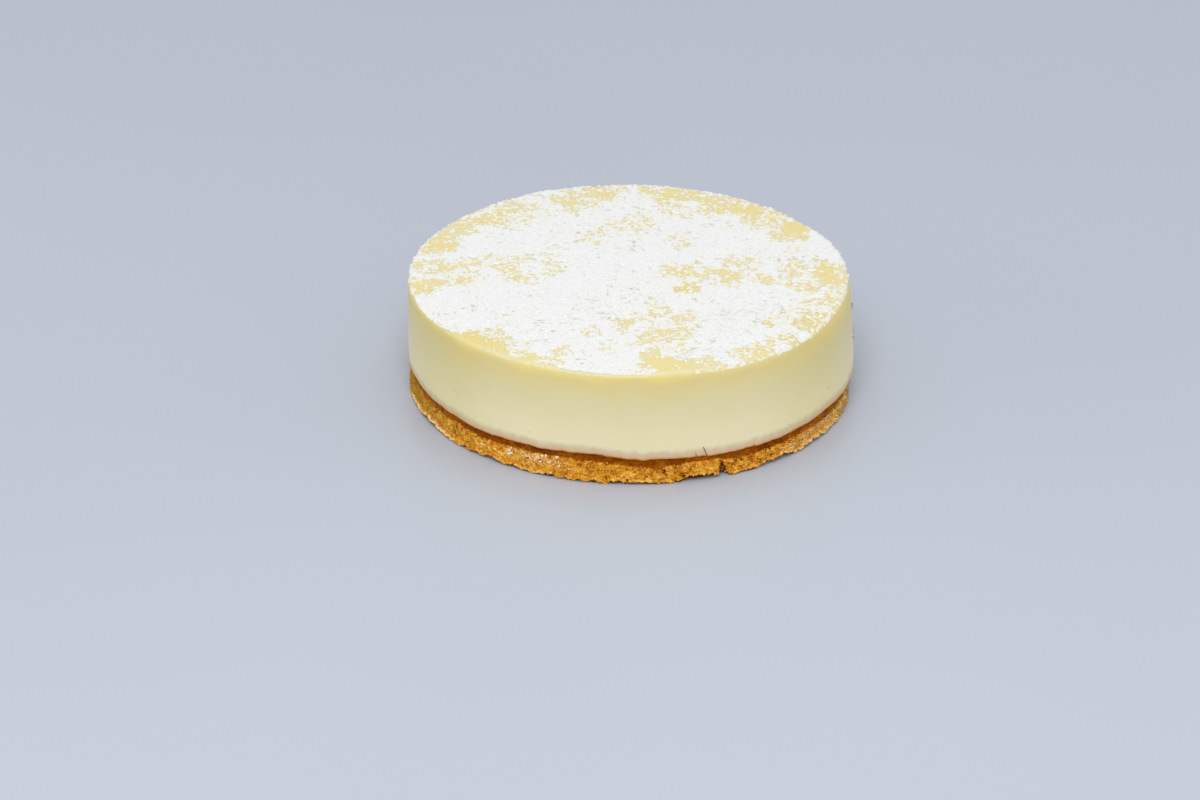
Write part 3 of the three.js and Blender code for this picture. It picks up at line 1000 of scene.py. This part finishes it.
def filling_material():
    """Baked cream: yellow at the rim, paler below, and thin and pinkish at the lip."""
    cream = Material("baked_cream")
    rise = cream.attribute("rise")
    patchy = cream.spread(cream.noise(14, detail=3), 0.2, 0.8, -2.2, 2.2)
    body = cream.ramp(cream.math("DIVIDE", cream.plus(rise, patchy), WALL_HEIGHT), [
        (0.0, (236, 227, 188)), (0.12, (240, 230, 190)), (0.3, (238, 227, 184)),
        (0.45, (233, 222, 178)), (0.65, (228, 217, 169)), (0.88, (229, 211, 145)),
        (0.97, (238, 221, 140)), (1.0, (240, 221, 144)),
    ])
    lip_wave = cream.spread(cream.noise(3), 0.3, 0.7, -0.4, 0.4)
    lip_share = cream.spread(cream.plus(rise, lip_wave), 0.2, 5.2)
    # The lip is pinkish where the thin cream lets the brown layer show through; the greyer stop just
    # above it is painted shade.
    lip = cream.ramp(lip_share, [
        (0.0, (196, 126, 64)), (0.16, (224, 174, 124)), (0.3, (226, 188, 146)),
        (0.5, (216, 198, 160)), (0.7, (226, 212, 174)), (1.0, (237, 226, 186)),
    ])
    body = cream.blend(cream.spread(lip_share, 0.7, 1.0), lip, body)
    # Painted shade: the middle of the rim's rounding is darkened.
    rim_painted_shade = cream.ramp(cream.spread(rise, WALL_HEIGHT - RIM_ROUND, WALL_HEIGHT), [
        (0.0, (255, 255, 255)), (0.25, (250, 250, 250)), (0.55, (241, 241, 241)),
        (0.75, (243, 243, 243)), (1.0, (255, 255, 255)),
    ])
    body = cream.blend(1.0, body, rim_painted_shade, "MULTIPLY")
    pores = cream.pores(6, 0.45, 0.3)
    # Painted shade in the pinholes: they are darkened.
    body = cream.blend(cream.times(pores, 0.45), body, linear((150, 132, 96)))
    dust = cream.attribute("dust")
    speckle = cream.spread(cream.noise(0.9, detail=4, roughness=0.65), 0.4, 0.62)
    dusty = cream.times(speckle, cream.spread(dust, 0, 0.8, 0.16, 0.8))
    on_top = cream.spread(rise, WALL_HEIGHT - 1.5, WALL_HEIGHT - 0.3)
    body = cream.blend(cream.times(dusty, on_top), body, linear((240, 236, 222)))
    # Deep under the sugar, what shows through its holes is shaded.
    body = cream.blend(cream.spread(dust, 0.75, 0.97, 0.0, 0.85), body, linear((206, 205, 188)))
    veil = cream.times(cream.attribute("veil"), cream.spread(speckle, 0, 1, 0.25, 0.6))
    body = cream.blend(veil, body, linear((232, 226, 200)))
    # Painted warm reflection: the cream on both sides is tinted more yellow.
    body = cream.blend(cream.attribute("painted_reflection"), body, PAINTED_REFLECTION_TINT, "MULTIPLY")
    fine = cream.math("SUBTRACT", cream.noise(1.6, detail=3), pores)
    return cream.shade({
        "Base Color": body,
        "Roughness": 0.4,
        "Specular IOR Level": 0.4,
        "Subsurface Weight": 0.3,
        "Subsurface Radius": (1.0, 0.7, 0.35),
        "Subsurface Scale": 3 * MM,
        "Normal": cream.bump(fine, 0.12, 0.3),
    })


def sugar_material():
    """Dry white powder, a little translucent where it lies thin."""
    sugar = Material("powdered_sugar")
    powder = sugar.noise(0.5, detail=3, roughness=0.6)
    depth = sugar.plus(sugar.attribute("thickness"), sugar.spread(powder, 0.3, 0.7, -0.03, 0.03))
    thin = sugar.ramp(sugar.spread(depth, 0.0, 0.12), [
        (0.0, (238, 224, 172)), (1.0, (240, 234, 210))])
    # Where the sugar lies thick all round, its small holes are shaded.
    thin = sugar.blend(sugar.attribute("shaded"), thin, linear((220, 221, 212)))
    white = sugar.ramp(powder, [(0.33, (222, 225, 226)), (0.65, (246, 246, 245))])
    body = sugar.blend(sugar.spread(depth, 0.06, 0.2), thin, white)
    body = sugar.blend(sugar.attribute("warmth"), body, linear((255, 220, 140)))
    return sugar.shade({
        "Base Color": body,
        "Roughness": 0.9,
        "Specular IOR Level": 0.25,
        "Diffuse Roughness": 0.5,
        "Normal": sugar.bump(sugar.noise(1.1, detail=4, roughness=0.7), 0.6, 0.3),
    })


def soaked_material():
    """Dark moist crumb, with painted shade that makes it darkest just under the filling."""
    soaked = Material("moist_brown_crumb")
    tone = soaked.spread(soaked.attribute("tone"), -0.8, 0.8)
    fine = soaked.noise(0.8, detail=3)
    shade = soaked.plus(soaked.times(tone, 0.5), soaked.times(fine, 0.5))
    body = soaked.ramp(shade, [
        (0.2, (104, 48, 0)), (0.45, (142, 70, 1)), (0.75, (186, 108, 12))])
    return soaked.shade({
        "Base Color": body,
        "Roughness": 0.45,
        "Specular IOR Level": 0.03,
        "Subsurface Weight": 0.1,
        "Subsurface Radius": (1.0, 0.4, 0.1),
        "Subsurface Scale": 1 * MM,
        "Normal": soaked.bump(fine, 0.35, 0.3),
    })


def crumb_material():
    """Pressed biscuit crumb: each grain has a tone of its own, and painted shade darkens the pits and
    hollows.
    """
    crumb = Material("biscuit_crumb")
    speckle = crumb.noise(0.45, detail=3, roughness=0.65)
    tone = crumb.plus(crumb.times(crumb.attribute("tone"), 0.64),
                      crumb.spread(speckle, 0.3, 0.7, 0.0, 0.36))
    # The ramp's golden colour is partly the crumbs' own and partly painted warm bounce light from below,
    # and its palest stop is a painted highlight on the grains' tops.
    body = crumb.ramp(tone, [
        (0.15, (158, 88, 8)), (0.42, (214, 143, 30)), (0.65, (242, 178, 62)),
        (0.9, (255, 218, 134)),
    ])
    # Painted reflection: towards both sides the crumbs are tinted less vivid and browner.
    body = crumb.blend(crumb.times(crumb.attribute("painted_grazing_reflection"), 0.65), body, linear((170, 132, 36)))
    # Painted shade in the hollows.
    hollow = crumb.spread(crumb.attribute("hollow"), 0.35, 1.0)
    body = crumb.blend(hollow, body, linear((112, 56, 6)))
    dust = crumb.attribute("dust")
    patchy = crumb.spread(crumb.noise(0.9, detail=3), 0.42, 0.62, 0.1, 0.4)
    powder = crumb.ramp(crumb.spread(dust, 0.6, 2.4), [
        (0.0, (252, 228, 158)), (1.0, (255, 236, 166))])
    body = crumb.blend(crumb.times(dust, patchy), body, powder)
    return crumb.shade({
        "Base Color": body,
        "Roughness": 0.75,
        "Specular IOR Level": 0.12,
        "Subsurface Weight": 0.08,
        "Subsurface Radius": (1.0, 0.5, 0.2),
        "Subsurface Scale": 0.8 * MM,
        "Normal": crumb.bump(speckle, 0.5, 0.25),
    })


# ---- stage, lights and camera

# Sizes, places and distances of the stage are in metres.
FLOOR_SIZE = 60

# Lights: name, place, size, watts and colour.
LIGHTS = [
    ("key", (-0.1, -1.12, 1.45), 0.8, 13.2, (1.0, 0.98, 0.95)),
    ("spark", (0.0, -1.7, 0.95), 0.08, 1.6, (1, 1, 1)),
    ("fill_left", (-1.35, -0.25, 0.35), 0.6, 1.2, (1, 1, 1)),
    ("fill_right", (1.35, -0.25, 0.35), 0.6, 1.4, (1, 1, 1)),
]
LIT_PLACE = Vector((0, 0, 0.02))
SURROUNDINGS = (0.655, 0.66, 0.66, 1)


def make_floor():
    """A large plain pale floor."""
    bpy.ops.mesh.primitive_plane_add(size=FLOOR_SIZE)
    floor = bpy.context.object
    floor.name = "floor"
    pale = Material("pale_floor")
    tint = pale.ramp(pale.noise(400), [(0.3, (189, 197, 212)), (0.7, (192, 200, 215))])
    floor.data.materials.append(pale.shade({"Base Color": tint, "Roughness": 0.35}))


def make_lights():
    """Soft lamps that face the cake, and pale surroundings."""
    for name, place, size, watts, colour in LIGHTS:
        light = bpy.data.lights.new(name, "AREA")
        light.size = size
        light.energy = watts
        light.color = colour
        lamp = bpy.data.objects.new(name, light)
        lamp.location = place
        lamp.rotation_euler = (LIT_PLACE - lamp.location).to_track_quat("-Z", "Y").to_euler()
        bpy.context.scene.collection.objects.link(lamp)
    world = bpy.data.worlds.new("studio")
    bpy.context.scene.world = world
    world.use_nodes = True
    background = world.node_tree.nodes["Background"]
    background.inputs["Color"].default_value = SURROUNDINGS
    background.inputs["Strength"].default_value = 1.0


PHOTO_WIDTH, PHOTO_HEIGHT = 1200, 800
CAMERA_LENS = 120
CAMERA_SENSOR = 36
CAMERA_DISTANCE = 1.677
CAMERA_ELEVATION = math.radians(26.97)
CAMERA_ROLL = math.radians(-0.35)
ORIGIN_PIXEL = (631.6, 379.2)


def make_camera():
    """The camera, turned so that the part's origin falls at its pixel of the picture."""
    camera = bpy.data.objects.new("camera", bpy.data.cameras.new("camera"))
    camera.data.lens = CAMERA_LENS
    camera.data.sensor_width = CAMERA_SENSOR
    camera.data.clip_start = 0.05
    bpy.context.scene.collection.objects.link(camera)
    bpy.context.scene.camera = camera
    place = Vector((0, -math.cos(CAMERA_ELEVATION), math.sin(CAMERA_ELEVATION)))
    forward = -place
    right = Vector((1, 0, 0))
    up = right.cross(forward)
    focal_pixels = PHOTO_WIDTH * CAMERA_LENS / CAMERA_SENSOR
    yaw = math.atan((ORIGIN_PIXEL[0] - PHOTO_WIDTH / 2) / focal_pixels)
    pitch = math.atan((ORIGIN_PIXEL[1] - PHOTO_HEIGHT / 2) / focal_pixels)
    turn = Matrix.Rotation(yaw, 3, up) @ Matrix.Rotation(pitch, 3, right)
    turn = Matrix.Rotation(CAMERA_ROLL, 3, turn @ forward) @ turn
    axes = Matrix((turn @ right, turn @ up, turn @ -forward)).transposed()
    camera.matrix_world = Matrix.Translation(place * CAMERA_DISTANCE) @ axes.to_4x4()


# ---- the cake

cream = filling_material()
sugar = sugar_material()
soaked = soaked_material()
crumb = crumb_material()
make_filling(cream)
make_icing_sugar(sugar)
make_sugar_specks(sugar)
make_rim_clumps(sugar)
make_soaked_layer(soaked)
make_crumb_base(crumb)
make_loose_crumbs(crumb)
make_stuck_crumbs(crumb)
make_side_sugar(sugar)
make_floor()
make_lights()
make_camera()
bpy.context.scene.view_settings.view_transform = "Standard"
